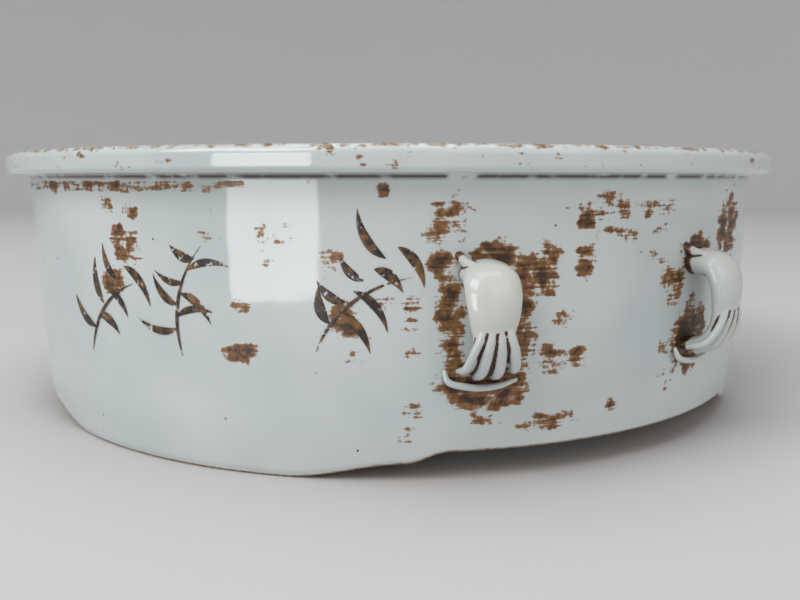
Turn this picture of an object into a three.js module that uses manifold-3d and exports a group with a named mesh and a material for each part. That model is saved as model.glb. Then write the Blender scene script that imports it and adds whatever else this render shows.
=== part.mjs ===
// Porcelain tureen basin: a thrown basin under a heavy everted lip, on a band cut into three
// bracket feet, with four pierced lugs modelled as finger-citron fruit over a thin leaf edge.
// Millimetres, +Z up. The origin is the centre of the plane that the feet stand on, and the two
// pairs of lugs face +X and -X.
import * as THREE from "three";
import { mergeVertices } from "three/addons/utils/BufferGeometryUtils.js";
import Module from "manifold-3d";

const wasm = await Module();
wasm.setup();

// Driving dimensions
const HEIGHT = 73.8; // foot plane to the top of the rim
const RIM_RADIUS = 120; // outside of the lip
const LIP_OVERHANG = 6; // how far the lip stands out past the wall
const LIP_THICKNESS = 5.9;
const LIP_TOP_ROUND = 2.2;
const LIP_UNDER_ROUND = 1.6;
const LIP_FILLET = 1.5; // under the lip, where it meets the wall
const WALL_LEAN = 0.7; // how much narrower a straight wall would be at the foot
const WALL_TUCK = 2.8; // how much further the wall draws in near the foot
const WALL_THICKNESS = 5;
const INNER_EDGE_ROUND = 1.2;
const COVE_RADIUS = 8; // inside corner between wall and floor
const FLOOR_THICKNESS = 6;
const BASE_RECESS = 8.5; // foot plane to the underside of the floor
const SLIP_JOINT = 0.3; // layer of slip between luted pieces

const FOOT_COUNT = 3;
const FOOT_BAND_HEIGHT = 12;
const FOOT_BAND_THICKNESS = 7;
const FOOT_EDGE_ROUND = 1;
const FOOT_FLAT_ANGLE = 16.5; // degrees from a foot's middle to the end of its flat sole
const FOOT_SLOPE_ANGLE = 31; // degrees from a foot's middle to the end of its long slope
const FOOT_SHOULDER_ANGLE = 36; // degrees from a foot's middle to the end of its shoulder
const FOOT_SLOPE_RISE = 3.9;
const APRON_RISE = 6.6; // foot plane to the edge between two feet
const APRON_PHASE = 4.8; // degrees from the +X axis to the middle of the first apron

const LUG_SPREAD = 31.6; // degrees between the two lugs of a pair
const LUG_TOP_HEIGHT = 50; // crown of the lug above the foot plane
const LUG_DROP = 27; // crown to the lowest fingertip
const LUG_REACH = 10.8; // how far the lug stands out of the wall
const LUG_EYE_REACH = 5.2; // clear gap between the wall and the arch
const LUG_FRUIT_WIDTH = 12.2;
const LUG_FAN_WIDTH = 14.6; // across the spread fingertips
const LUG_ROOT_BURY = 3; // extra length that the wall trims off
const FINGER_RADIUS = 1.35;
const FINGER_COUNT = 4;
const LEAF_WIDTH = 15.5;
const LEAF_RADIUS = 0.8;
const LEAF_SAG = 1.6; // ends of the leaf edge above its middle
const LEAF_CURL = 2.6; // upturned end above that

const ROUND_SEGMENTS = 72;
const FOOT_SEGMENTS = 120;
const LUG_RING_POINTS = 14;
const THIN_RING_POINTS = 8;

const WALL_TOP_RADIUS = RIM_RADIUS - LIP_OVERHANG;
const LIP_UNDERSIDE = HEIGHT - LIP_THICKNESS;
const FLOOR_TOP = BASE_RECESS + FLOOR_THICKNESS;
const FOOT_BAND_INNER = WALL_TOP_RADIUS - WALL_LEAN - WALL_TUCK - FOOT_BAND_THICKNESS;
const { degToRad, lerp, smoothstep } = THREE.MathUtils;

// Outer radius of the wall and feet at a height: a slight lean, and a tuck that grows with the
// fourth power of the distance below the lip.
function outerRadius(z) {
  const share = Math.max(LIP_UNDERSIDE - z, 0) / LIP_UNDERSIDE;
  return WALL_TOP_RADIUS - WALL_LEAN * share - WALL_TUCK * share ** 4;
}

function point(radius, z) {
  return new THREE.Vector2(radius, z);
}

// Points of a round about a centre, from one direction to another in degrees.
function roundPoints(centreRadius, centreZ, radius, from, to, steps) {
  const curve = new THREE.EllipseCurve(
    centreRadius, centreZ, radius, radius, degToRad(from), degToRad(to), to < from,
  );
  return curve.getPoints(steps);
}

// Points up the outside of the wall, each pushed out by a margin.
function wallPoints(low, high, steps, margin = 0) {
  return Array.from({ length: steps + 1 }, (_, i) => {
    const z = lerp(low, high, i / steps);
    return point(outerRadius(z) + margin, z);
  });
}

// An outline of radius and height turned about +Z. It closes on itself unless it starts on the axis.
function turned(outline, segments = ROUND_SEGMENTS) {
  const closed = outline[0].x > 0 ? [...outline, outline[0]] : outline;
  const geometry = new THREE.LatheGeometry(closed, segments);
  geometry.rotateX(Math.PI / 2);
  return geometry;
}

// Rings of points joined into one closed skin: a loop of rings, or a row whose ends are capped.
function skinned(rings, capped) {
  const count = rings[0].length;
  const faces = [];
  const spans = capped ? rings.length - 1 : rings.length;
  for (let i = 0; i < spans; i++) {
    const next = ((i + 1) % rings.length) * count;
    for (let j = 0; j < count; j++) {
      const k = (j + 1) % count;
      const a = i * count + j;
      const b = i * count + k;
      faces.push(a, next + j, b, b, next + j, next + k);
    }
  }
  if (capped) {
    const end = (rings.length - 1) * count;
    for (let j = 1; j < count - 1; j++) {
      faces.push(0, j, j + 1);
      faces.push(end, end + j + 1, end + j);
    }
  }
  const positions = rings.flat().flatMap((p) => [p.x, p.y, p.z]);
  const geometry = new THREE.BufferGeometry();
  geometry.setAttribute("position", new THREE.Float32BufferAttribute(positions, 3));
  geometry.setIndex(faces);
  return geometry;
}

function solidOf(geometry) {
  const bare = geometry.clone();
  bare.deleteAttribute("normal");
  bare.deleteAttribute("uv");
  const merged = mergeVertices(bare, 1e-4);
  return new wasm.Manifold(new wasm.Mesh({
    numProp: 3,
    vertProperties: new Float32Array(merged.attributes.position.array),
    triVerts: new Uint32Array(merged.index.array),
  }));
}

function geometryOf(solid) {
  const mesh = solid.getMesh();
  const geometry = new THREE.BufferGeometry();
  geometry.setAttribute("position", new THREE.BufferAttribute(mesh.vertProperties, 3));
  geometry.setIndex(new THREE.BufferAttribute(mesh.triVerts, 1));
  geometry.computeVertexNormals();
  return geometry;
}

const glaze = new THREE.MeshStandardMaterial({ color: 0xdfe6e4, roughness: 0.12 });
const lugGlaze = new THREE.MeshStandardMaterial({ color: 0xe9e7df, roughness: 0.14 });

function piece(name, geometry, material) {
  const mesh = new THREE.Mesh(geometry, material);
  mesh.name = name;
  return mesh;
}

// The thrown wall and floor. The wall flares under the lip, and its foot is stepped to sit on
// the band while the floor drops inside it.
function basin() {
  const wallBottom = FOOT_BAND_HEIGHT + SLIP_JOINT;
  const wallTop = LIP_UNDERSIDE - SLIP_JOINT;
  const floorRadius = FOOT_BAND_INNER - SLIP_JOINT;
  const flare = roundPoints(WALL_TOP_RADIUS + LIP_FILLET, wallTop - LIP_FILLET, LIP_FILLET, 180, 90, 3);
  const innerTop = WALL_TOP_RADIUS - WALL_THICKNESS;
  const coveTop = FLOOR_TOP + COVE_RADIUS;
  const innerLow = outerRadius(coveTop) - WALL_THICKNESS;
  const cove = roundPoints(innerLow - COVE_RADIUS, coveTop, COVE_RADIUS, 0, -90, 5);
  return turned([
    point(0, BASE_RECESS),
    point(floorRadius, BASE_RECESS),
    point(floorRadius, wallBottom),
    ...wallPoints(wallBottom, wallTop - LIP_FILLET, 8),
    ...flare.slice(1),
    point(innerTop, wallTop),
    ...cove,
    point(0, FLOOR_TOP),
  ]);
}

// The everted lip: flat on top, where a cover would sit, and round along its outer edge.
function rimCollar() {
  const inner = WALL_TOP_RADIUS - WALL_THICKNESS;
  return turned([
    point(inner, LIP_UNDERSIDE),
    ...roundPoints(RIM_RADIUS - LIP_UNDER_ROUND, LIP_UNDERSIDE + LIP_UNDER_ROUND, LIP_UNDER_ROUND, 270, 360, 3),
    ...roundPoints(RIM_RADIUS - LIP_TOP_ROUND, HEIGHT - LIP_TOP_ROUND, LIP_TOP_ROUND, 0, 90, 4),
    ...roundPoints(inner + INNER_EDGE_ROUND, HEIGHT - INNER_EDGE_ROUND, INNER_EDGE_ROUND, 90, 180, 3),
  ]);
}

// Height of the band's lower edge: a flat sole, a long slope, a short shoulder, then the apron.
function footEdgeHeight(angle) {
  const period = 360 / FOOT_COUNT;
  const fromApron = Math.abs(THREE.MathUtils.euclideanModulo(angle - APRON_PHASE + period / 2, period) - period / 2);
  const fromFoot = period / 2 - fromApron;
  const slope = FOOT_SLOPE_RISE * smoothstep(fromFoot, FOOT_FLAT_ANGLE, FOOT_SLOPE_ANGLE);
  const shoulder = (APRON_RISE - FOOT_SLOPE_RISE) * smoothstep(fromFoot, FOOT_SLOPE_ANGLE, FOOT_SHOULDER_ANGLE);
  return slope + shoulder;
}

// The band under the wall: a ring whose section is worked out at each angle.
function footBand() {
  const rings = [];
  for (let i = 0; i < FOOT_SEGMENTS; i++) {
    const degrees = (i / FOOT_SEGMENTS) * 360;
    const low = footEdgeHeight(degrees);
    const direction = degToRad(degrees);
    const section = [
      [FOOT_BAND_INNER + FOOT_EDGE_ROUND, low],
      [outerRadius(low) - FOOT_EDGE_ROUND, low],
      [outerRadius(low + FOOT_EDGE_ROUND), low + FOOT_EDGE_ROUND],
      [outerRadius(FOOT_BAND_HEIGHT), FOOT_BAND_HEIGHT],
      [FOOT_BAND_INNER, FOOT_BAND_HEIGHT],
      [FOOT_BAND_INNER, low + FOOT_EDGE_ROUND],
    ];
    rings.push(section.map(([r, z]) => new THREE.Vector3(r * Math.cos(direction), r * Math.sin(direction), z)));
  }
  return skinned(rings, false);
}

// Values given at even steps along a share from 0 to 1, joined by straight lines.
function valueAt(share, values) {
  const place = Math.min(share, 0.9999) * (values.length - 1);
  const i = Math.floor(place);
  return lerp(values[i], values[i + 1], place - i);
}

// A bar of elliptical rings square to a curve. Its size at a share of the length is its half
// width along the across direction and its half thickness.
function bar(points, sizeAt, steps, count, across = new THREE.Vector3(0, 1, 0)) {
  const curve = new THREE.CatmullRomCurve3(points);
  const rings = [];
  for (let i = 0; i <= steps; i++) {
    const share = i / steps;
    const centre = curve.getPoint(share);
    const along = curve.getTangent(share);
    const up = new THREE.Vector3().crossVectors(across, along).normalize();
    const side = new THREE.Vector3().crossVectors(along, up);
    const [halfWidth, halfThickness] = sizeAt(share);
    rings.push(Array.from({ length: count }, (_, j) => {
      const turn = (j / count) * Math.PI * 2;
      return centre.clone()
        .addScaledVector(side, halfWidth * Math.cos(turn))
        .addScaledVector(up, halfThickness * Math.sin(turn));
    }));
  }
  return solidOf(skinned(rings, true));
}

// Heights and radii that the lug and its leaf edge share.
function lugLayout() {
  const barHalf = (LUG_REACH - LUG_EYE_REACH) / 2;
  return {
    barHalf,
    wall: outerRadius(LUG_TOP_HEIGHT - LUG_DROP / 2),
    crown: LUG_TOP_HEIGHT - barHalf * 1.2,
    tips: LUG_TOP_HEIGHT - LUG_DROP + FINGER_RADIUS,
  };
}

// One lug, in a frame whose +X points out of the wall at the lug's own angle. The fruit leaves
// the wall at the crown, swells over the eye, narrows, and parts into fingers that curl back.
function lugSolid(grow = 0) {
  const { barHalf, wall, crown, tips } = lugLayout();
  const at = (reachShare, y, z) => new THREE.Vector3(wall + LUG_REACH * reachShare, y, z);
  const fruitPoints = [
    new THREE.Vector3(wall - LUG_ROOT_BURY, 0, crown),
    at(0.25, 0, crown),
    at(0.58, 0, crown - LUG_DROP * 0.05),
    at(0.74, 0, crown - LUG_DROP * 0.2),
    at(0.74, 0, crown - LUG_DROP * 0.38),
    at(0.64, 0, crown - LUG_DROP * 0.56),
    at(0.38, 0, crown - LUG_DROP * 0.7),
    at(0, 0, crown - LUG_DROP * 0.76),
    new THREE.Vector3(wall - LUG_ROOT_BURY, 0, crown - LUG_DROP * 0.76),
  ];
  const widths = [0.43, 0.48, 0.5, 0.5, 0.45, 0.38, 0.36, 0.4, 0.44, 0.44];
  const depths = [1.2, 1.2, 1.15, 1.1, 1, 0.85, 0.7, 0.65, 0.6, 0.57];
  const fruitSize = (s) => [LUG_FRUIT_WIDTH * valueAt(s, widths) + grow, barHalf * valueAt(s, depths) + grow];
  let solid = bar(fruitPoints, fruitSize, 18, LUG_RING_POINTS);

  const waist = crown - LUG_DROP * 0.36;
  for (let i = 0; i < FINGER_COUNT; i++) {
    const place = (i / (FINGER_COUNT - 1)) * 2 - 1;
    const yTop = place * LUG_FRUIT_WIDTH * 0.24;
    const yTip = place * (LUG_FAN_WIDTH / 2 - FINGER_RADIUS);
    const lift = LEAF_SAG * place * place;
    const fingerPoints = [
      at(0.76, yTop * 0.8, waist + LUG_DROP * 0.07),
      at(0.87, yTop, waist - LUG_DROP * 0.06),
      at(0.8, lerp(yTop, yTip, 0.45), waist - LUG_DROP * 0.2),
      at(0.55, lerp(yTop, yTip, 0.8), tips + LUG_DROP * 0.09 + lift * 0.5),
      at(0.14, yTip, tips + lift),
    ];
    const smallest = i === 0 ? 0.75 : 1;
    const radiusAt = (s) => FINGER_RADIUS * smallest * valueAt(s, [0.7, 1, 1, 1, 1, 0.95, 0.8, 0.5]) + grow;
    solid = solid.add(bar(fingerPoints, (s) => [radiusAt(s), radiusAt(s)], 10, THIN_RING_POINTS));
  }
  return solid;
}

// The leaf edge that hugs the fingertips: a thin bar along the wall, its first end turned up.
function leafSolid() {
  const { wall, tips } = lugLayout();
  const low = tips - FINGER_RADIUS - SLIP_JOINT - LEAF_RADIUS;
  const points = [new THREE.Vector3(wall, -LEAF_WIDTH / 2 - LEAF_RADIUS, low + LEAF_SAG + LEAF_CURL)];
  for (let i = 0; i <= 4; i++) {
    const place = i / 2 - 1;
    const out = wall + LEAF_RADIUS;
    points.push(new THREE.Vector3(out, (place * LEAF_WIDTH) / 2, low + LEAF_SAG * place * place));
  }
  const sizeAt = (s) => {
    const radius = LEAF_RADIUS * valueAt(s, [0.7, 1, 1, 1, 1, 0.7]);
    return [radius, radius];
  };
  return bar(points, sizeAt, 14, THIN_RING_POINTS, new THREE.Vector3(1, 0, 0));
}

// What the wall takes out of a lug: the wall's outside grown by the slip joint.
function wallCutter() {
  const low = FOOT_BAND_HEIGHT;
  const high = LUG_TOP_HEIGHT + LUG_REACH;
  return solidOf(turned([
    point(0, low),
    ...wallPoints(low, high, 10, SLIP_JOINT),
    point(0, high),
  ], ROUND_SEGMENTS * 4));
}

function lugsAndLeaves() {
  const lug = lugSolid();
  const leaf = leafSolid().subtract(lugSolid(SLIP_JOINT));
  const cutter = wallCutter();
  const places = [
    ["right_near", -LUG_SPREAD / 2],
    ["right_far", LUG_SPREAD / 2],
    ["left_far", 180 - LUG_SPREAD / 2],
    ["left_near", 180 + LUG_SPREAD / 2],
  ];
  return places.flatMap(([place, angle]) => [
    piece(`lug_${place}`, geometryOf(lug.rotate([0, 0, angle]).subtract(cutter)), lugGlaze),
    piece(`leaf_edge_${place}`, geometryOf(leaf.rotate([0, 0, angle]).subtract(cutter)), lugGlaze),
  ]);
}

const tureen = new THREE.Group();
tureen.add(piece("basin", basin(), glaze));
tureen.add(piece("rim_collar", rimCollar(), glaze));
tureen.add(piece("foot_band", footBand(), glaze));
tureen.add(...lugsAndLeaves());

export default tureen;
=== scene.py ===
"""Glazed porcelain basin with bracket feet and finger-citron lugs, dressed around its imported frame."""

import math

import bpy
import numpy as np
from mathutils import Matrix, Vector


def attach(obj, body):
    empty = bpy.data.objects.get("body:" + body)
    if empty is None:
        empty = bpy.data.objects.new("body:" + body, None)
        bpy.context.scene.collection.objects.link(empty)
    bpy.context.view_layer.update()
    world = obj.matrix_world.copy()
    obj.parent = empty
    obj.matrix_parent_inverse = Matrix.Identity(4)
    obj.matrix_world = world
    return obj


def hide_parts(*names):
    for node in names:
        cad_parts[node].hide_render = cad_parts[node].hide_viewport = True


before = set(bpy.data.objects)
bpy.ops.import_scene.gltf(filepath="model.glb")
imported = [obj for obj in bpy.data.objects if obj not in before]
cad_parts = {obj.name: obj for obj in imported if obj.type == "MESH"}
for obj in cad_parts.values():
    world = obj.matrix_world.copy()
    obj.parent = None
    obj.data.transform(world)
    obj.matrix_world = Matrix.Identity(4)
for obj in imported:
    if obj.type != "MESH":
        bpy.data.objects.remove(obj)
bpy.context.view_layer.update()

bl_info = {
    "name": "Porcelain tureen basin",
    "version": (1, 0, 0),
    "blender": (4, 5, 0),
    "location": "View3D > Sidebar > Tureen",
    "description": "Glazed skin, lugs, leaf edges, brushed sprays and a plain stage",
    "category": "Add Mesh",
}

MM = 0.001
BODY = "root"
LUG_PLACES = {"right_near": -1, "right_far": 1, "left_far": -1, "left_near": 1}
LEFT_SIDE = ("left_far", "left_near")

# Sizes of the vessel in millimetres and degrees, as in the frame's model
WALL_TOP_RADIUS = 114
WALL_LEAN = 0.7
WALL_TUCK = 2.8
LIP_UNDERSIDE = 67.9
LIP_FILLET = 1.5
LIP_UNDER_ROUND = 1.6
LIP_TOP_ROUND = 2.2
INNER_RADIUS = 109
INNER_EDGE_ROUND = 1.2
COVE_RADIUS = 8
FLOOR_TOP = 14.5
BASE_UNDERSIDE = 8.5
FOOT_INNER = 103.5
FOOT_ROUND = 1
FOOT_BAND_HEIGHT = 12
FOOT_COUNT = 3
FOOT_FLAT_ANGLE = 16.5
FOOT_SLOPE_ANGLE = 31
FOOT_SHOULDER_ANGLE = 36
SLOPE_RISE = 3.9
SHOULDER_RISE = 2.7

# What the glazed skin adds to them, in millimetres, and how many copies of its profile go round
INNER_LEAN = 0.6
BASE_ROUND = 1.3
POLE_RADIUS = 1.2
THROWING_WOBBLE = 0.10
AROUND = 480

# Where the vessel's masks fade in or end, in millimetres, and how strong they are
RIM_STAIN_HEIGHTS = (68.0, 69.0)
RIM_STAIN_RADIUS = 116.5
RIM_STAIN = 0.25
RIM_WEAR_HEIGHTS = (71.8, 73.4)
RIM_WEAR_RADIUS = 110.5
RIM_WEAR = 0.62
SOLE_WEAR_HEIGHTS = (0.2, 1.1)
SOLE_WEAR_RADIUS_METRES = 0.1035
# The crease band is painted shade: a dark line in the corner under the lip's overhang
CREASE_HEIGHT = 67.2
CREASE_WIDTH = 0.5
CREASE_RADII = (113.8, 116.5)

# Sizes of the lugs and leaf edges in millimetres, and each finger's share of the finger radius
LUG_BURY = 3
ARCH_HALF = 2.8
FRUIT_WIDTH = 12.2
FAN_WIDTH = 14.6
FINGERTIP_INSET = 1.35
FINGER_RADIUS = 1.25
FINGER_SIZES = (0.72, 0.96, 1, 0.96)
RIDGE_RADIUS = 1.1
LEAF_HALF_WIDTH = 7.75
LEAF_DROP = 1.1
LEAF_OUT = 0.8
LEAF_SAG = 1.6
MELT_VOXEL = 0.28

# Brushed sprays: sizes in millimetres, a stroke's bend in radians, its rings and points to a ring
STEM_LENGTH = 26
STEM_WIDTH = 1.1
STROKE_BEND = 0.55
INK_HALF_THICKNESS = 0.05
LEAF_LENGTHS = (7, 12)
LEAF_WIDTHS = (1.9, 2.9)
STROKE_STEPS = 28
STROKE_RING = 12

# How a spray grows: the first leaf's share of the stem, and a leaf's turn off the stem in radians
FIRST_LEAF_SHARE = 0.25
LEAF_TURNS = (1.0, 2.1)

# Each spray: foot of its stem in the photograph's pixels, the stem's lean in radians, and its leaves
SPRAYS = ((92, 350, 0.25, 6), (182, 356, -0.30, 7), (316, 352, 0.35, 8))

# The wall, taken as a plain cylinder where a pixel or a stroke is laid on it, in metres
WALL_CYLINDER = 0.1135

# The photograph's frame, its size and the camera's focal length in its pixels
PHOTO_WIDTH = 800
PHOTO_HEIGHT = 600
FOCAL_PIXELS = 800

# Stained patches on the wall: left, top, right and bottom in the photograph's pixels, and strength
STAIN_PATCHES = (
    (28, 178, 285, 190, 0.75), (104, 196, 115, 208, 0.8), (124, 205, 138, 217, 0.8),
    (112, 226, 140, 266, 0.8), (104, 273, 122, 293, 1.0), (224, 345, 254, 362, 1.0),
    (233, 303, 247, 314, 0.8), (198, 213, 218, 246, 0.5), (243, 223, 302, 262, 0.45),
    (318, 248, 342, 277, 0.6), (328, 303, 362, 337, 0.85), (348, 353, 362, 367, 0.7),
    (373, 298, 397, 311, 0.7), (379, 186, 387, 194, 1.0), (423, 193, 472, 247, 0.6),
    (426, 254, 460, 278, 0.9), (401, 288, 424, 357, 0.65), (436, 276, 464, 364, 1.0),
    (470, 244, 518, 264, 1.1), (508, 262, 532, 348, 1.1), (440, 360, 528, 410, 1.1),
    (528, 248, 565, 292, 0.8), (577, 248, 595, 280, 0.8), (538, 343, 565, 377, 0.7),
    (572, 350, 587, 366, 0.8), (556, 312, 568, 328, 0.8), (568, 192, 682, 216, 0.6),
    (579, 216, 592, 228, 0.9), (593, 228, 643, 242, 0.7), (656, 224, 669, 236, 0.7),
    (623, 255, 668, 264, 0.6), (664, 263, 682, 302, 0.9), (684, 236, 712, 264, 1.1),
    (662, 335, 678, 356, 0.8), (660, 370, 675, 388, 0.7), (403, 408, 422, 418, 0.7),
    (402, 428, 414, 442, 0.6), (478, 414, 503, 426, 0.6), (516, 417, 576, 431, 0.8),
    (534, 435, 548, 443, 0.6), (609, 402, 622, 411, 0.8), (676, 300, 704, 372, 1.1),
    (716, 192, 736, 262, 0.9), (500, 282, 536, 402, 0.7),
)

# Where the bright panel shows in the glaze: its bottom, top and sides, and the point that it faces
PANEL_BOTTOM_PIXEL = (272, 338)
PANEL_TOP_PIXEL = (274, 196)
PANEL_LEFT_PIXEL = (228, 240)
PANEL_RIGHT_PIXEL = (322, 240)
PANEL_MIDDLE_PIXEL = (272, 265)

# How far the bright panel stands from the wall at its bottom, top and sides in metres, and its watts
PANEL_BOTTOM_DISTANCE = 0.11
PANEL_TOP_DISTANCE = 0.30
PANEL_SIDE_DISTANCE = 0.2
PANEL_POWER = 0.35

# Soft panels: name, metres towards the camera, to the left and up, width and length, and watts
SOFT_PANELS = (
    ("key", (0.9, 1.0, 1.3), (1.2, 0.9), 14),
    ("fill", (1.2, -0.9, 0.8), (1.2, 1.0), 3),
    ("top", (0, 0, 1.9), (1.6, 1.6), 10),
)
SOFT_PANEL_AIM = (0, 0, 0.03)
ROOM_COLOUR = (0.93, 0.96, 1.0, 1)
ROOM_STRENGTH = 0.52


def length_property(name, description, default):
    return bpy.props.FloatProperty(name=name, description=description, default=default, unit="LENGTH")


def angle_property(name, description, default):
    return bpy.props.FloatProperty(name=name, description=description, default=default, unit="ROTATION")


class TureenSizes(bpy.types.PropertyGroup):
    """Driving sizes as in the frame's model, in metres and radians, and the camera's place."""
    height: length_property("Height", "Foot plane to rim", 0.0738)
    rim_radius: length_property("Rim radius", "Outside of the lip", 0.120)
    lug_top: length_property("Lug top", "Crown above the foot plane", 0.050)
    lug_drop: length_property("Lug drop", "Crown to fingertip", 0.027)
    lug_reach: length_property("Lug reach", "How far a lug stands out", 0.0108)
    lug_half_spread: angle_property("Lug angle", "From the pair's axis", math.radians(15.8))
    apron_phase: angle_property("Apron angle", "First apron from +X", math.radians(4.8))
    camera_azimuth: angle_property("Camera azimuth", "The side that faces the camera", math.radians(-25.8))
    camera_distance: length_property("Camera distance", "From the axis", 0.2808)
    camera_height: length_property("Camera height", "Above the foot plane", 0.0667)
    camera_pitch: angle_property("Camera pitch", "Downwards", 0.1505)
    camera_yaw: angle_property("Camera yaw", "Towards the right", 0.011)


def colour_property(name, description, default):
    return bpy.props.FloatVectorProperty(
        name=name, description=description, subtype="COLOR", size=3, default=default)


class TureenColours(bpy.types.PropertyGroup):
    """Colours of the glaze, the stains (the dark one also paints shade in the crease under the lip), the
    brushed sprays and the stage.
    """
    glaze: colour_property("Glaze", "Bluish-white glaze", (0.70, 0.75, 0.745))
    glaze_shade: colour_property("Glaze shade", "Where the glaze lies thicker", (0.60, 0.66, 0.66))
    lug_glaze: colour_property("Lug glaze", "Warmer white on the lugs", (0.78, 0.76, 0.69))
    stain_light: colour_property("Light stain", "Thin golden brown", (0.29, 0.13, 0.035))
    # The dark stain colour also paints the shade in the crease under the lip
    dark_stain_and_crease_shade: colour_property("Dark stain", "Thick dark brown", (0.045, 0.020, 0.010))
    bare: colour_property("Bare body", "Unglazed edge", (0.42, 0.34, 0.25))
    ink: colour_property("Ink", "Brushed sprays", (0.022, 0.016, 0.013))
    floor: colour_property("Stage", "Floor and backdrop", (0.66, 0.65, 0.645))


def settings():
    """The scene's sizes and its colours."""
    return bpy.context.scene.tureen_sizes, bpy.context.scene.tureen_colours


def smoothstep(x, low, high):
    """0 up to low, 1 from high on, and between them three t squared less two t cubed."""
    t = np.clip((x - low) / (high - low), 0, 1)
    return t * t * (3 - 2 * t)


def outer_radius(z):
    """Outer radius at height z: the top radius less a lean and a tuck that grows as depth to the fourth."""
    underside = LIP_UNDERSIDE * MM
    share = np.clip((underside - z) / underside, 0, None)
    return (WALL_TOP_RADIUS - WALL_LEAN * share - WALL_TUCK * share ** 4) * MM


def foot_edge(phi):
    """Height of the lower edge at azimuth phi: flat sole, long slope, short shoulder, apron."""
    sizes, _ = settings()
    period = 2 * np.pi / FOOT_COUNT
    from_apron = np.abs(np.mod(phi - sizes.apron_phase + period / 2, period) - period / 2)
    from_foot = np.degrees(period / 2 - from_apron)
    slope = SLOPE_RISE * smoothstep(from_foot, FOOT_FLAT_ANGLE, FOOT_SLOPE_ANGLE)
    shoulder = SHOULDER_RISE * smoothstep(from_foot, FOOT_SLOPE_ANGLE, FOOT_SHOULDER_ANGLE)
    return (slope + shoulder) * MM


def arc(centre_r, centre_z, radius, start, end, count):
    """Points of a circle's arc, angles in degrees."""
    t = np.radians(np.linspace(start, end, count))
    return np.stack([centre_r + radius * np.cos(t), centre_z + radius * np.sin(t)], 1)


def line(start, end, count):
    """Points at even steps from start to end."""
    return np.linspace(start, end, count)


def turned_ring(radius, z, phi):
    """Points of a turned surface: radius and height for each azimuth and profile point."""
    around = phi[:, None]
    return np.stack([radius * np.cos(around), radius * np.sin(around), z], 2).reshape(-1, 3)


def turned_quads(around, count):
    """Quads between neighbouring copies of a profile of count points turned about +Z."""
    i, j = np.meshgrid(np.arange(around), np.arange(count - 1), indexing="ij")
    here = i * count + j
    there = (i + 1) % around * count + j
    return np.stack([here, there, there + 1, here + 1], -1).reshape(-1, 4)


def tube_faces(count, ring):
    """Quads along count rings of ring points each, and a cap on each end."""
    i, j = np.meshgrid(np.arange(count - 1), np.arange(ring), indexing="ij")
    k = (j + 1) % ring
    quads = np.stack([i * ring + j, (i + 1) * ring + j, (i + 1) * ring + k, i * ring + k], -1)
    last = list(range((count - 1) * ring, count * ring))
    return quads.reshape(-1, 4).tolist() + [list(range(ring)), last[::-1]]


def mesh_piece(name, points, faces, material, replaced=()):
    mesh = bpy.data.meshes.new(name)
    mesh.from_pydata(points.tolist(), [], faces)
    mesh.validate()
    mesh.polygons.foreach_set("use_smooth", [True] * len(mesh.polygons))
    mesh.update()
    return add_piece(name, mesh, material, replaced)


def add_piece(name, mesh, material, replaced=()):
    piece = bpy.data.objects.new(name, mesh)
    bpy.context.scene.collection.objects.link(piece)
    mesh.materials.clear()
    mesh.materials.append(material)
    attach(piece, BODY)
    if replaced:
        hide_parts(*replaced)
    return piece


def set_attribute(mesh, name, values):
    layer = mesh.attributes.new(name, "FLOAT", "POINT")
    layer.data.foreach_set("value", np.asarray(values, dtype=np.float32))


def camera_frame():
    """The camera's place, and its forward, right and up directions, in the frame's axes."""
    sizes, _ = settings()
    turn = sizes.camera_azimuth + math.pi / 2
    c, s = math.cos(turn), math.sin(turn)
    to_row = np.array([[c, -s, 0], [s, c, 0], [0, 0, 1]])
    place = to_row @ np.array([0, -sizes.camera_distance, sizes.camera_height])
    level = math.cos(sizes.camera_pitch)
    ahead = [math.sin(sizes.camera_yaw) * level, math.cos(sizes.camera_yaw) * level]
    forward = to_row @ np.array([*ahead, -math.sin(sizes.camera_pitch)])
    right = np.cross(forward, [0, 0, 1])
    right /= np.linalg.norm(right)
    return place, forward, right, np.cross(right, forward)


def wall_point(pixel):
    """Where the ray through a pixel meets the wall, taken as a cylinder, and the ray's direction."""
    place, forward, right, up = camera_frame()
    across = pixel[0] - PHOTO_WIDTH / 2
    down = pixel[1] - PHOTO_HEIGHT / 2
    ray = forward * FOCAL_PIXELS + right * across - up * down
    ray /= np.linalg.norm(ray)
    a = ray[0] ** 2 + ray[1] ** 2
    b = place[0] * ray[0] + place[1] * ray[1]
    c = place[0] ** 2 + place[1] ** 2 - WALL_CYLINDER ** 2
    root = max(b * b - a * c, 0)
    distance = (-b - math.sqrt(root)) / a
    return place + ray * distance, ray


def wall_azimuth(pixel):
    """Azimuth and height of the wall at a pixel."""
    point, _ = wall_point(pixel)
    return math.atan2(point[1], point[0]), point[2]


def stain_strength(phi, z):
    """The largest of soft-edged ellipses on the unrolled wall, one for each stained patch."""
    spread_azimuth = 0.008
    spread_height = 0.9 * MM
    gone, full = -1.9, -0.1
    total = np.zeros_like(phi)
    for left, top, right, bottom, strength in STAIN_PATCHES:
        phi_a, _ = wall_azimuth((left, (top + bottom) / 2))
        phi_b, _ = wall_azimuth((right, (top + bottom) / 2))
        _, z_high = wall_azimuth(((left + right) / 2, top))
        _, z_low = wall_azimuth(((left + right) / 2, bottom))
        middle = (phi_a + phi_b) / 2
        half_width = abs(phi_b - phi_a) / 2 + spread_azimuth
        half_height = (z_high - z_low) / 2 + spread_height
        offset = np.abs(np.mod(phi - middle + np.pi, 2 * np.pi) - np.pi) / half_width
        height = np.abs(z - (z_high + z_low) / 2) / half_height
        total = np.maximum(total, strength * smoothstep(-(offset ** 2 + height ** 2), gone, full))
    return total


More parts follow.
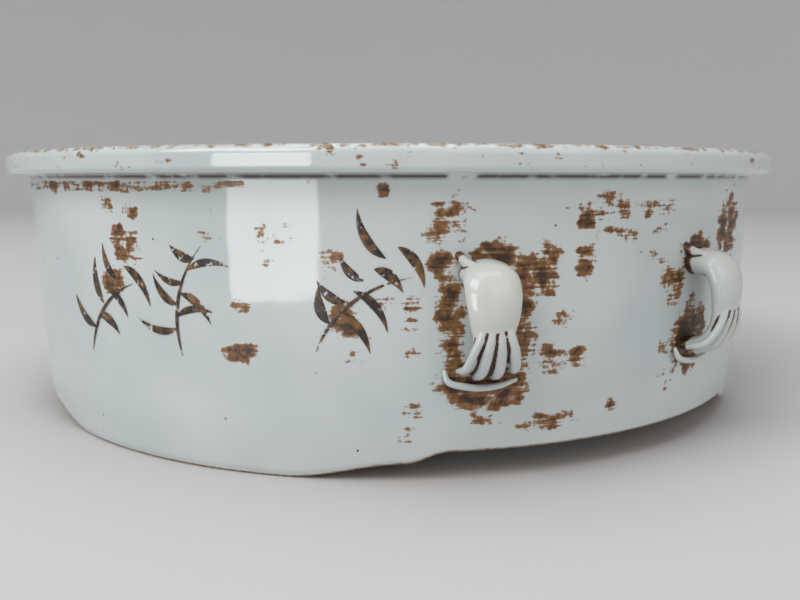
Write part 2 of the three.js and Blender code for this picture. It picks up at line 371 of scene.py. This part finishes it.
def vessel_profile():
    """Radius, height, ceiling of the foot's stretch (0 if none) and outer flag of each profile point.
    The profile runs from the axis under the floor, round the foot, up the wall, over the lip, and
    down the inside to the axis again."""
    sizes, _ = settings()
    top = sizes.height / MM
    rim = sizes.rim_radius / MM
    sole = float(outer_radius(0.0)) / MM
    underside = np.vstack([
        line((POLE_RADIUS, BASE_UNDERSIDE), (FOOT_INNER - 2, BASE_UNDERSIDE), 24),
        arc(FOOT_INNER - 1.5, BASE_UNDERSIDE - BASE_ROUND, BASE_ROUND, 90, 20, 5),
    ])
    foot_inside = np.vstack([
        line((FOOT_INNER, BASE_UNDERSIDE - BASE_ROUND - 0.8), (FOOT_INNER, FOOT_ROUND), 7),
        arc(FOOT_INNER + FOOT_ROUND, FOOT_ROUND, FOOT_ROUND, 180, 270, 6)[1:],
    ])
    foot_outside = arc(sole - FOOT_ROUND, FOOT_ROUND, FOOT_ROUND, 270, 360, 6)
    wall_z = np.concatenate([
        np.linspace(FOOT_ROUND + 0.3, FOOT_BAND_HEIGHT, 12),
        np.linspace(FOOT_BAND_HEIGHT + 1, LIP_UNDERSIDE - LIP_FILLET - 0.3, 54),
    ])
    wall = np.stack([outer_radius(wall_z * MM) / MM, wall_z], 1)
    lip = np.vstack([
        arc(WALL_TOP_RADIUS + LIP_FILLET, LIP_UNDERSIDE - LIP_FILLET, LIP_FILLET, 180, 90, 7),
        arc(rim - LIP_UNDER_ROUND, LIP_UNDERSIDE + LIP_UNDER_ROUND, LIP_UNDER_ROUND, 270, 360, 9),
        arc(rim - LIP_TOP_ROUND, top - LIP_TOP_ROUND, LIP_TOP_ROUND, 0, 90, 12),
        line((rim - LIP_TOP_ROUND - 0.6, top), (INNER_RADIUS + 2, top), 8),
        arc(INNER_RADIUS + INNER_EDGE_ROUND, top - INNER_EDGE_ROUND, INNER_EDGE_ROUND, 90, 180, 8),
    ])
    cove_top = FLOOR_TOP + COVE_RADIUS
    inside = np.vstack([
        line((INNER_RADIUS, top - INNER_EDGE_ROUND - 1.1), (INNER_RADIUS - 0.4, cove_top + 0.1), 36),
        arc(INNER_RADIUS - INNER_LEAN - COVE_RADIUS, cove_top, COVE_RADIUS, 0, -90, 14),
        line((INNER_RADIUS - 10, FLOOR_TOP), (POLE_RADIUS, FLOOR_TOP), 24),
    ])
    parts = [underside, foot_inside, foot_outside, wall, lip, inside]
    ceilings = [0, BASE_UNDERSIDE, FOOT_BAND_HEIGHT, FOOT_BAND_HEIGHT, 0, 0]
    outers = [0, 0, 1, 1, 0, 0]
    rz = np.vstack(parts) * MM
    ceiling = np.concatenate([np.full(len(p), c) for p, c in zip(parts, ceilings)]) * MM
    outer = np.concatenate([np.full(len(p), f) for p, f in zip(parts, outers)])
    return rz[:, 0], rz[:, 1], ceiling, outer


def vessel_skin():
    """The closed profile turned about +Z. Heights under a ceiling are squeezed up from the sole to
    the foot edge at each azimuth, and outer points keep their inset from the wall. The wall is drawn
    in by up to about 0.3 mm, as a sum of two products of sines. Gives the points, the faces, and each
    point's azimuth and outer flag."""
    r0, z0, ceiling, outer = vessel_profile()
    phi = np.linspace(-np.pi, np.pi, AROUND, endpoint=False)
    low = foot_edge(phi)[:, None]
    in_foot = (z0 < ceiling)[None, :]
    span = np.where(ceiling > 0, ceiling, 1)[None, :]
    z = np.where(in_foot, low + z0 * (span - low) / span, z0)
    is_wall = outer[None, :] > 0
    r = np.where(is_wall, r0 + outer_radius(z) - outer_radius(z0), r0)
    slow = np.sin(3 * phi + 1)[:, None] * np.sin(z * 90)
    quick = 0.6 * np.sin(7 * phi)[:, None] * np.cos(z * 160)
    middle = smoothstep(z, 0.010, 0.022) * (1 - smoothstep(z, 0.058, 0.066))
    r = r + THROWING_WOBBLE * MM * (slow + quick - 1.6) * middle * is_wall
    count = r.shape[1]
    points = np.vstack([turned_ring(r, z, phi), [[0, 0, z0[0]]], [[0, 0, z0[-1]]]])
    k = np.arange(AROUND)
    following = (k + 1) % AROUND
    under = np.full(AROUND, len(points) - 2)
    floor = np.full(AROUND, len(points) - 1)
    bottom = np.stack([under, following * count, k * count], 1)
    top = np.stack([floor, k * count + count - 1, following * count + count - 1], 1)
    faces = turned_quads(AROUND, count).tolist() + bottom.tolist() + top.tolist()
    azimuths = np.concatenate([np.repeat(phi, count), [0, 0]])
    is_outer = np.concatenate([np.tile(outer, AROUND), [0, 0]])
    return points, faces, azimuths, is_outer


def smooth_path(points, count):
    """A Catmull-Rom curve through the points, at even steps."""
    p = np.asarray(points, float)
    p = np.vstack([2 * p[0] - p[1], p, 2 * p[-1] - p[-2]])
    t = np.linspace(0, len(p) - 3 - 1e-6, count)
    i = t.astype(int)
    f = (t - i)[:, None]
    a, b, c, d = p[i], p[i + 1], p[i + 2], p[i + 3]
    square = 2 * a - 5 * b + 4 * c - d
    cube = 3 * b - a - 3 * c + d
    return 0.5 * (2 * b + (c - a) * f + square * f ** 2 + cube * f ** 3)


def bar(points, widths, depths, across, count=60, ring=28):
    """Ellipses square to a smooth path: half width along the across direction, half depth square to it."""
    centre = smooth_path(points, count)
    share = np.linspace(0, 1, count)
    width = np.interp(share, np.linspace(0, 1, len(widths)), widths)[:, None, None]
    depth = np.interp(share, np.linspace(0, 1, len(depths)), depths)[:, None, None]
    along = np.gradient(centre, axis=0)
    up = np.cross(np.asarray(across, float), along)
    up /= np.linalg.norm(up, axis=1, keepdims=True)
    side = np.cross(along, up)
    side /= np.linalg.norm(side, axis=1, keepdims=True)
    turn = np.linspace(0, 2 * np.pi, ring, endpoint=False)[None, :, None]
    ellipse = side[:, None] * np.cos(turn) * width + up[:, None] * np.sin(turn) * depth
    return (centre[:, None] + ellipse).reshape(-1, 3), tube_faces(count, ring)


def joined(parts):
    """All the parts' points and faces as one list of each."""
    points, faces, start = [], [], 0
    for part_points, part_faces in parts:
        points.append(part_points)
        faces += [[v + start for v in face] for face in part_faces]
        start += len(part_points)
    return np.vstack(points), faces


def lug_parts():
    """The fruit bar, its four fingers and the ridge at its upper left, with +X out of the wall.
    Along its path the fruit's half width and half depth are shares of its width and arch, and a
    finger's path goes from a small spread at the waist to the full fan at its tip."""
    sizes, _ = settings()
    reach, drop, top = sizes.lug_reach, sizes.lug_drop, sizes.lug_top
    wall = float(outer_radius(top - drop / 2))
    half = ARCH_HALF * MM
    crown = top - half * 1.2
    waist = crown - drop * 0.36
    tips = top - drop + FINGERTIP_INSET * MM
    buried = wall - LUG_BURY * MM
    sideways = (0, 1, 0)

    def at(share, y, z):
        return (wall + reach * share, y, z)

    fruit = [
        (buried, 0, crown), at(0.25, 0, crown), at(0.58, 0, crown - drop * 0.05),
        at(0.74, 0, crown - drop * 0.2), at(0.74, 0, crown - drop * 0.38),
        at(0.64, 0, crown - drop * 0.56), at(0.38, 0, crown - drop * 0.7),
        at(0, 0, crown - drop * 0.76), (buried, 0, crown - drop * 0.76),
    ]
    widths = np.array([0.43, 0.48, 0.5, 0.5, 0.45, 0.36, 0.32, 0.36, 0.42, 0.42]) * FRUIT_WIDTH * MM
    depths = np.array([1.2, 1.2, 1.15, 1.1, 1, 0.8, 0.62, 0.55, 0.55, 0.55]) * half
    parts = [bar(fruit, widths, depths, sideways)]
    for i, size in enumerate(FINGER_SIZES):
        place = i / 1.5 - 1
        y_top = place * FRUIT_WIDTH * MM * 0.24
        y_tip = place * (FAN_WIDTH / 2 - FINGERTIP_INSET) * MM
        lift = LEAF_SAG * MM * place * place
        path = [
            at(0.74, y_top * 0.8, waist + drop * 0.07),
            at(0.85, y_top, waist - drop * 0.06),
            at(0.80, y_top * 0.55 + y_tip * 0.45, waist - drop * 0.2),
            at(0.56, y_top * 0.2 + y_tip * 0.8, tips + drop * 0.09 + lift / 2),
            at(0.14, y_tip, tips + lift),
        ]
        radii = np.array([0.6, 1, 1.05, 1, 1, 1, 0.95, 0.7]) * FINGER_RADIUS * MM * size
        parts.append(bar(path, radii, radii, sideways, 48, 20))
    ridge = [
        (wall - 1 * MM, -5.6 * MM, top + 1 * MM),
        at(0.14, -4.6 * MM, top - 0.6 * MM),
        at(0.4, -2.6 * MM, crown + 1.6 * MM),
    ]
    radii = [RIDGE_RADIUS * MM] * 3
    parts.append(bar(ridge, radii, radii, sideways, 16, 16))
    return parts


def leaf_part():
    """The leaf edge: a thin bar on a parabola under the fingertips, its left end turned up."""
    sizes, _ = settings()
    wall = float(outer_radius(sizes.lug_top - sizes.lug_drop / 2))
    low = sizes.lug_top - sizes.lug_drop - LEAF_DROP * MM
    path = [(wall, -(LEAF_HALF_WIDTH + 0.8) * MM, low + (LEAF_SAG + 2.6) * MM)]
    for share in (-1, -0.5, 0, 0.5, 1):
        path.append((wall + LEAF_OUT * MM, share * LEAF_HALF_WIDTH * MM, low + LEAF_SAG * MM * share * share))
    radii = np.array([0.45, 0.8, 0.85, 0.8, 0.75, 0.4]) * MM
    return bar(path, radii, radii, (1, 0, 0), 60, 16)


def turned_about_z(points, angle):
    """The points turned about +Z by an angle in radians."""
    c, s = math.cos(angle), math.sin(angle)
    return points @ np.array([[c, s, 0], [-s, c, 0], [0, 0, 1]])


def lug_angle(place):
    """Azimuth of a lug: the half spread to either side of +X, and half a turn more on the left."""
    sizes, _ = settings()
    return LUG_PLACES[place] * sizes.lug_half_spread + (math.pi if place in LEFT_SIDE else 0)


def melted(name, points, faces):
    """The parts flowed into one glazed skin: a fine voxel remesh, then smoothing, made real."""
    mesh = bpy.data.meshes.new(name + "_parts")
    mesh.from_pydata(points.tolist(), [], faces)
    holder = bpy.data.objects.new(name + "_parts", mesh)
    bpy.context.scene.collection.objects.link(holder)
    remesh = holder.modifiers.new("melt", "REMESH")
    remesh.mode = "VOXEL"
    remesh.voxel_size = MELT_VOXEL * MM
    remesh.use_smooth_shade = True
    soften = holder.modifiers.new("soften", "SMOOTH")
    soften.factor = 0.5
    soften.iterations = 4
    real = bpy.data.meshes.new_from_object(holder.evaluated_get(bpy.context.evaluated_depsgraph_get()))
    bpy.data.objects.remove(holder)
    real.name = name
    return real


def hollow_mask(mesh):
    """How hollow the skin is at each vertex: its neighbours' mean, blurred, measured along the normal."""
    count = len(mesh.vertices)
    co = np.empty(count * 3)
    mesh.vertices.foreach_get("co", co)
    normal = np.empty(count * 3)
    mesh.vertices.foreach_get("normal", normal)
    edges = np.empty(len(mesh.edges) * 2, dtype=np.int64)
    mesh.edges.foreach_get("vertices", edges)
    co, normal, edges = co.reshape(-1, 3), normal.reshape(-1, 3), edges.reshape(-1, 2)
    degree = np.maximum(np.bincount(edges.ravel(), minlength=count), 1)[:, None]

    def spread(values):
        total = np.zeros_like(values)
        np.add.at(total, edges[:, 0], values[edges[:, 1]])
        np.add.at(total, edges[:, 1], values[edges[:, 0]])
        return total / degree

    blur_rounds = 14
    mean = co
    for _ in range(blur_rounds):
        mean = spread(mean)
    hollow = np.einsum("ij,ij->i", mean - co, normal)[:, None]
    hollow = spread(spread(hollow))[:, 0]
    near_wall = 1 - smoothstep(np.hypot(co[:, 0], co[:, 1]) - outer_radius(co[:, 2]), 0.4 * MM, 2.2 * MM)
    return np.clip(smoothstep(hollow, 0.005 * MM, 0.07 * MM) + 0.8 * near_wall, 0, 1)


def new_material(name):
    material = bpy.data.materials.new(name)
    material.use_nodes = True
    tree = material.node_tree
    return material, tree, tree.nodes["Principled BSDF"]


def math_node(tree, operation, a, b, clamp=False):
    node = tree.nodes.new("ShaderNodeMath")
    node.operation = operation
    node.use_clamp = clamp
    for socket, value in zip(node.inputs, (a, b)):
        if isinstance(value, (int, float)):
            socket.default_value = value
        else:
            tree.links.new(value, socket)
    return node.outputs[0]


def mix_colour(tree, factor, a, b):
    node = tree.nodes.new("ShaderNodeMix")
    node.data_type = "RGBA"
    for socket, value in zip((node.inputs[0], node.inputs[6], node.inputs[7]), (factor, a, b)):
        if isinstance(value, (tuple, list)):
            socket.default_value = (*value, 1)
        else:
            tree.links.new(value, socket)
    return node.outputs[2]


def noise(tree, vector, scale, detail, stretch=None):
    if stretch:
        mapping = tree.nodes.new("ShaderNodeMapping")
        mapping.inputs["Scale"].default_value = stretch
        tree.links.new(vector, mapping.inputs["Vector"])
        vector = mapping.outputs[0]
    node = tree.nodes.new("ShaderNodeTexNoise")
    node.inputs["Scale"].default_value = scale
    node.inputs["Detail"].default_value = detail
    tree.links.new(vector, node.inputs["Vector"])
    return node.outputs["Fac"]


def ramp(tree, value, low, high):
    node = tree.nodes.new("ShaderNodeMapRange")
    node.interpolation_type = "SMOOTHSTEP"
    node.inputs["From Min"].default_value = low
    node.inputs["From Max"].default_value = high
    tree.links.new(value, node.inputs["Value"])
    return node.outputs[0]


def scaled(tree, value, factor):
    return math_node(tree, "MULTIPLY", value, factor)


def stain_group():
    """Breaks a soft stain mask up with grain and fine scratches. Puts out its cover and its depth."""
    group = bpy.data.node_groups.new("scratched_stain", "ShaderNodeTree")
    sockets = (
        ("Mask", "NodeSocketFloat", "INPUT"), ("Place", "NodeSocketVector", "INPUT"),
        ("Cover", "NodeSocketFloat", "OUTPUT"), ("Depth", "NodeSocketFloat", "OUTPUT"),
    )
    for name, kind, side in sockets:
        group.interface.new_socket(name=name, in_out=side, socket_type=kind)
    start = group.nodes.new("NodeGroupInput")
    end = group.nodes.new("NodeGroupOutput")
    place = start.outputs["Place"]
    blotch = scaled(group, noise(group, place, 260, 5), 1.3)
    grain = scaled(group, noise(group, place, 1100, 3), 0.45)
    scratch = scaled(group, noise(group, place, 220, 4, (0.5, 0.5, 6)), 0.75)
    broken = math_node(group, "ADD", math_node(group, "ADD", blotch, grain), scratch)
    level = math_node(group, "ADD", broken, scaled(group, start.outputs["Mask"], 0.62))
    has_mask = ramp(group, start.outputs["Mask"], 0.02, 0.2)
    cover = math_node(group, "MULTIPLY", ramp(group, level, 1.60, 1.74), has_mask)
    group.links.new(cover, end.inputs["Cover"])
    group.links.new(ramp(group, level, 1.72, 2.02), end.inputs["Depth"])
    return group


def attribute(tree, name):
    node = tree.nodes.new("ShaderNodeAttribute")
    node.attribute_name = name
    return node.outputs["Fac"]


def object_place(tree):
    return tree.nodes.new("ShaderNodeTexCoord").outputs["Object"]


def place_group(tree, group, mask, place):
    node = tree.nodes.new("ShaderNodeGroup")
    node.node_tree = group
    tree.links.new(mask, node.inputs["Mask"])
    tree.links.new(place, node.inputs["Place"])
    return node.outputs["Cover"], node.outputs["Depth"]


def with_bare_edge_and_crease_shade(tree, place, base, rough):
    """Lays the unglazed edge, and painted shade as a dark line in the crease under the lip, over a base
    colour and roughness.
    """
    _, colours = settings()
    bare_mask = attribute(tree, "bare")
    ragged = math_node(tree, "ADD", bare_mask, noise(tree, place, 420, 5))
    bare = math_node(tree, "MULTIPLY", ramp(tree, ragged, 1.0, 1.25), ramp(tree, bare_mask, 0.05, 0.3))
    specks = ramp(tree, noise(tree, place, 700, 4), 0.45, 0.62)
    dirt = mix_colour(tree, specks, tuple(colours.bare), tuple(colours.stain_light))
    base = mix_colour(tree, bare, base, dirt)
    rough = math_node(tree, "ADD", rough, scaled(tree, bare, 0.5), clamp=True)
    # Painted shade: the crease under the lip is darkened with the dark stain colour and broken up by noise
    broken = ramp(tree, noise(tree, place, 150, 3), 0.3, 0.5)
    crease = math_node(tree, "MULTIPLY", attribute(tree, "crease"), broken)
    return mix_colour(tree, crease, base, tuple(colours.dark_stain_and_crease_shade)), rough


def glaze_material(name, group, colour, with_bare_and_crease_shade):
    """Glossy glaze: faint clouding, pinholes, brown stain in its mask, and a bare edge with painted shade in
    the crease under the lip if it has one.
    """
    _, colours = settings()
    material, tree, shader = new_material(name)
    place = object_place(tree)
    cloud = ramp(tree, noise(tree, place, 22, 2), 0.35, 0.7)
    base = mix_colour(tree, cloud, tuple(colour), tuple(colours.glaze_shade))
    cover, depth = place_group(tree, group, attribute(tree, "stain"), place)
    stain = mix_colour(tree, depth, tuple(colours.stain_light), tuple(colours.dark_stain_and_crease_shade))
    base = mix_colour(tree, cover, base, stain)
    dots = tree.nodes.new("ShaderNodeTexVoronoi")
    dots.inputs["Scale"].default_value = 170
    tree.links.new(place, dots.inputs["Vector"])
    dot = math_node(tree, "LESS_THAN", dots.outputs["Distance"], 0.05)
    pinholes = math_node(tree, "MULTIPLY", dot, ramp(tree, noise(tree, place, 60, 2), 0.52, 0.6))
    base = mix_colour(tree, pinholes, base, tuple(colours.dark_stain_and_crease_shade))
    rough = math_node(tree, "ADD", scaled(tree, cover, 0.38), 0.07)
    if with_bare_and_crease_shade:
        base, rough = with_bare_edge_and_crease_shade(tree, place, base, rough)
    tree.links.new(base, shader.inputs["Base Color"])
    tree.links.new(rough, shader.inputs["Roughness"])
    bump = tree.nodes.new("ShaderNodeBump")
    bump.inputs["Strength"].default_value = 0.25
    bump.inputs["Distance"].default_value = 0.00015
    height = math_node(tree, "ADD", noise(tree, place, 130, 2), scaled(tree, cover, 0.3))
    tree.links.new(height, bump.inputs["Height"])
    tree.links.new(bump.outputs[0], shader.inputs["Normal"])
    return material


def ink_material():
    """Brushed dark pigment, worn through in grains so that the glaze shows."""
    _, colours = settings()
    material, tree, shader = new_material("worn_ink")
    place = object_place(tree)
    faded = ramp(tree, noise(tree, place, 500, 3), 0.4, 0.75)
    base = mix_colour(tree, faded, tuple(colours.ink), tuple(colours.stain_light))
    tree.links.new(base, shader.inputs["Base Color"])
    shader.inputs["Roughness"].default_value = 0.35
    tree.links.new(ramp(tree, noise(tree, place, 900, 4), 0.36, 0.44), shader.inputs["Alpha"])
    return material


def stage_material():
    _, colours = settings()
    material, tree, shader = new_material("pale_stage")
    shade = tuple(c * 0.985 for c in colours.floor)
    base = mix_colour(tree, noise(tree, object_place(tree), 3, 2), tuple(colours.floor), shade)
    tree.links.new(base, shader.inputs["Base Color"])
    shader.inputs["Roughness"].default_value = 0.8
    return material


class TUREEN_OT_vessel(bpy.types.Operator):
    """Make the glazed skin of basin, lip and feet"""
    bl_idname = "tureen.vessel"
    bl_label = "Vessel"

    def execute(self, context):
        _, colours = settings()
        points, faces, phi, outer = vessel_skin()
        group = bpy.data.node_groups.get("scratched_stain") or stain_group()
        material = glaze_material("stained_glaze", group, colours.glaze, True)
        replaced = ("basin", "rim_collar", "foot_band")
        piece = mesh_piece("vessel", points, faces, material, replaced)
        z = points[:, 2]
        radius = np.hypot(points[:, 0], points[:, 1])
        height = z / MM
        stain = stain_strength(phi, z) * outer
        rim_stain = RIM_STAIN * smoothstep(height, *RIM_STAIN_HEIGHTS) * (radius > RIM_STAIN_RADIUS * MM)
        set_attribute(piece.data, "stain", stain + rim_stain)
        rim_wear = RIM_WEAR * smoothstep(height, *RIM_WEAR_HEIGHTS) * (radius > RIM_WEAR_RADIUS * MM)
        above_edge = (z - foot_edge(phi)) / MM
        # The foot's inner face lies on this very radius, so rounding decides which of its points are bare
        sole = (1 - smoothstep(above_edge, *SOLE_WEAR_HEIGHTS)) * (radius > SOLE_WEAR_RADIUS_METRES)
        set_attribute(piece.data, "bare", np.maximum(rim_wear, sole))
        # Painted shade: a narrow dark band in the crease under the lip
        nearest, farthest = (r * MM for r in CREASE_RADII)
        crease = np.exp(-((height - CREASE_HEIGHT) / CREASE_WIDTH) ** 2)
        crease = crease * (radius > nearest) * (radius < farthest)
        set_attribute(piece.data, "crease", crease)
        return {"FINISHED"}


class TUREEN_OT_lugs(bpy.types.Operator):
    """Make the finger-citron lugs and the leaf edges under them"""
    bl_idname = "tureen.lugs"
    bl_label = "Lugs and leaf edges"

    def execute(self, context):
        _, colours = settings()
        group = bpy.data.node_groups.get("scratched_stain") or stain_group()
        material = glaze_material("lug_glaze", group, colours.lug_glaze, False)
        points, faces = joined(lug_parts())
        leaf_points, leaf_faces = leaf_part()
        for place in LUG_PLACES:
            angle = lug_angle(place)
            lug = melted(f"lug_{place}", turned_about_z(points, angle), faces)
            lug_piece = add_piece(f"citron_{place}", lug, material, (f"lug_{place}",))
            set_attribute(lug_piece.data, "stain", 0.12 + 1.5 * hollow_mask(lug))
            leaf = melted(f"leaf_{place}", turned_about_z(leaf_points, angle), leaf_faces)
            leaf_piece = add_piece(f"leaf_{place}", leaf, material, (f"leaf_edge_{place}",))
            set_attribute(leaf_piece.data, "stain", 0.8 * hollow_mask(leaf))
        return {"FINISHED"}


def brushed_leaf(azimuth, z, heading, length, width):
    """A leaf stroke on the wall: a bent centre line whose flat ellipse swells as a power of a sine.
    Known fault: its faces run the other way round from tube_faces, so they point inwards."""
    t = np.linspace(0, 1, STROKE_STEPS)[:, None]
    a = np.linspace(0, 2 * np.pi, STROKE_RING, endpoint=False)[None, :]
    bend = heading + STROKE_BEND * t
    half = width / 2 * np.sin(np.pi * np.clip(t, 0.012, 0.985)) ** 0.8 * (1.1 - 0.5 * t)
    along = azimuth * WALL_CYLINDER + length * t * np.sin(bend) + half * np.cos(a) * np.cos(bend)
    height = z + length * t * np.cos(bend) - half * np.cos(a) * np.sin(bend)
    radius = outer_radius(height) + INK_HALF_THICKNESS * MM * np.sin(a)
    phi = along / WALL_CYLINDER
    points = np.stack([radius * np.cos(phi), radius * np.sin(phi), height], 2).reshape(-1, 3)
    ring = STROKE_RING
    i, j = np.meshgrid(np.arange(STROKE_STEPS - 1), np.arange(ring), indexing="ij")
    k = (j + 1) % ring
    quads = np.stack([i * ring + j, i * ring + k, (i + 1) * ring + k, (i + 1) * ring + j], -1)
    last = list(range((STROKE_STEPS - 1) * ring, STROKE_STEPS * ring))
    return points, quads.reshape(-1, 4).tolist() + [list(range(ring))[::-1], last]


class TUREEN_OT_sprays(bpy.types.Operator):
    """Brush plain bamboo-leaf sprays on the wall"""
    bl_idname = "tureen.sprays"
    bl_label = "Leaf sprays"

    def execute(self, context):
        material = ink_material()
        rng = np.random.default_rng(7)
        stem = STEM_LENGTH * MM
        for number, (x, y, lean, leaves) in enumerate(SPRAYS, 1):
            azimuth, z = wall_azimuth((x, y))
            parts = [brushed_leaf(azimuth, z, lean, stem, STEM_WIDTH * MM)]
            for leaf in range(leaves):
                share = FIRST_LEAF_SHARE + (1 - FIRST_LEAF_SHARE) * leaf / leaves
                side = 1 if leaf % 2 else -1
                heading = lean + side * rng.uniform(*LEAF_TURNS)
                length = rng.uniform(*LEAF_LENGTHS) * MM
                width = rng.uniform(*LEAF_WIDTHS) * MM
                spot = azimuth + stem * share * math.sin(lean + STROKE_BEND * share) / WALL_CYLINDER
                parts.append(brushed_leaf(spot, z + (STEM_LENGTH - 1) * MM * share, heading, length, width))
            points, faces = joined(parts)
            mesh_piece(f"leaf_spray_{number}", points, faces, material)
        return {"FINISHED"}


def area_light(name, place, target, size, power):
    data = bpy.data.lights.new(name, "AREA")
    data.shape = "RECTANGLE"
    data.size, data.size_y = size
    data.energy = power
    light = bpy.data.objects.new(name, data)
    light.location = place
    light.rotation_euler = (Vector(target) - Vector(place)).to_track_quat("-Z", "Y").to_euler()
    light.visible_camera = False
    bpy.context.scene.collection.objects.link(light)
    return light


def mirrored(pixel, distance):
    """The point at a distance along the ray that the wall mirrors towards the camera at a pixel."""
    point, ray = wall_point(pixel)
    normal = np.array([point[0], point[1], 0])
    normal /= np.linalg.norm(normal)
    return point + (ray - 2 * np.dot(ray, normal) * normal) * distance


def make_backdrop(scene):
    """A pale floor that curves up into a wall on every side: one profile turned about +Z."""
    around = 96
    curve = 0.8
    flat = 1.6
    wall = flat + curve
    profile = np.vstack([
        line((0.002, 0), (flat - 0.05, 0), 12),
        arc(flat, curve, curve, -90, 0, 24),
        line((wall, 0.9), (wall, 3), 4),
    ])
    count = len(profile)
    phi = np.linspace(0, 2 * np.pi, around, endpoint=False)
    z = np.broadcast_to(profile[None, :, 1], (around, count))
    ring = turned_ring(profile[None, :, 0], z, phi)
    centre = (np.arange(around) * count).tolist()
    mesh = bpy.data.meshes.new("backdrop")
    mesh.from_pydata(ring.tolist(), [], turned_quads(around, count).tolist() + [centre])
    mesh.polygons.foreach_set("use_smooth", [True] * len(mesh.polygons))
    mesh.materials.append(stage_material())
    floor = bpy.data.objects.new("backdrop", mesh)
    scene.collection.objects.link(floor)


def make_camera(scene):
    place, forward, _, _ = camera_frame()
    sensor = 36
    data = bpy.data.cameras.new("camera")
    data.sensor_width = sensor
    data.lens = sensor * FOCAL_PIXELS / PHOTO_WIDTH
    data.clip_start = 0.01
    camera = bpy.data.objects.new("camera", data)
    camera.location = place
    camera.rotation_euler = Vector(forward).to_track_quat("-Z", "Y").to_euler()
    scene.collection.objects.link(camera)
    scene.camera = camera


def make_lights(scene):
    """Three soft panels, one that shows only as a reflection in the glaze, and a pale room."""
    place, _, right, _ = camera_frame()
    back = np.array([place[0], place[1], 0]) / math.hypot(place[0], place[1])
    left = -np.array([right[0], right[1], 0])
    for name, (towards, leftwards, height), panel_size, power in SOFT_PANELS:
        spot = back * towards + left * leftwards + np.array([0, 0, height])
        area_light(name, spot, SOFT_PANEL_AIM, panel_size, power)
    low = mirrored(PANEL_BOTTOM_PIXEL, PANEL_BOTTOM_DISTANCE)
    high = mirrored(PANEL_TOP_PIXEL, PANEL_TOP_DISTANCE)
    span = mirrored(PANEL_RIGHT_PIXEL, PANEL_SIDE_DISTANCE) - mirrored(PANEL_LEFT_PIXEL, PANEL_SIDE_DISTANCE)
    seen, _ = wall_point(PANEL_MIDDLE_PIXEL)
    size = (float(np.linalg.norm(span)), float(np.linalg.norm(high - low)))
    panel = area_light("panel", (low + high) / 2, seen, size, PANEL_POWER)
    panel.visible_diffuse = False
    world = bpy.data.worlds.new("soft_room")
    world.use_nodes = True
    background = world.node_tree.nodes["Background"]
    background.inputs["Color"].default_value = ROOM_COLOUR
    background.inputs["Strength"].default_value = ROOM_STRENGTH
    scene.world = world
    scene.view_settings.view_transform = "Standard"


class TUREEN_OT_stage(bpy.types.Operator):
    """Make the round backdrop, the lights and the camera"""
    bl_idname = "tureen.stage"
    bl_label = "Stage"

    def execute(self, context):
        make_backdrop(context.scene)
        make_camera(context.scene)
        make_lights(context.scene)
        return {"FINISHED"}


class TUREEN_PT_panel(bpy.types.Panel):
    """Lists the steps in the sidebar"""
    bl_idname = "TUREEN_PT_panel"
    bl_label = "Tureen"
    bl_space_type = "VIEW_3D"
    bl_region_type = "UI"
    bl_category = "Tureen"

    def draw(self, context):
        for step in STEPS:
            self.layout.operator(step.bl_idname)


STEPS = (TUREEN_OT_vessel, TUREEN_OT_lugs, TUREEN_OT_sprays, TUREEN_OT_stage)
CLASSES = (TureenSizes, TureenColours, *STEPS, TUREEN_PT_panel)


def register():
    for item in CLASSES:
        bpy.utils.register_class(item)
    bpy.types.Scene.tureen_sizes = bpy.props.PointerProperty(type=TureenSizes)
    bpy.types.Scene.tureen_colours = bpy.props.PointerProperty(type=TureenColours)


def unregister():
    del bpy.types.Scene.tureen_colours
    del bpy.types.Scene.tureen_sizes
    for item in reversed(CLASSES):
        bpy.utils.unregister_class(item)


def main():
    register()
    bpy.ops.tureen.vessel()
    bpy.ops.tureen.lugs()
    bpy.ops.tureen.sprays()
    bpy.ops.tureen.stage()


if __name__ == "__main__":
    main()
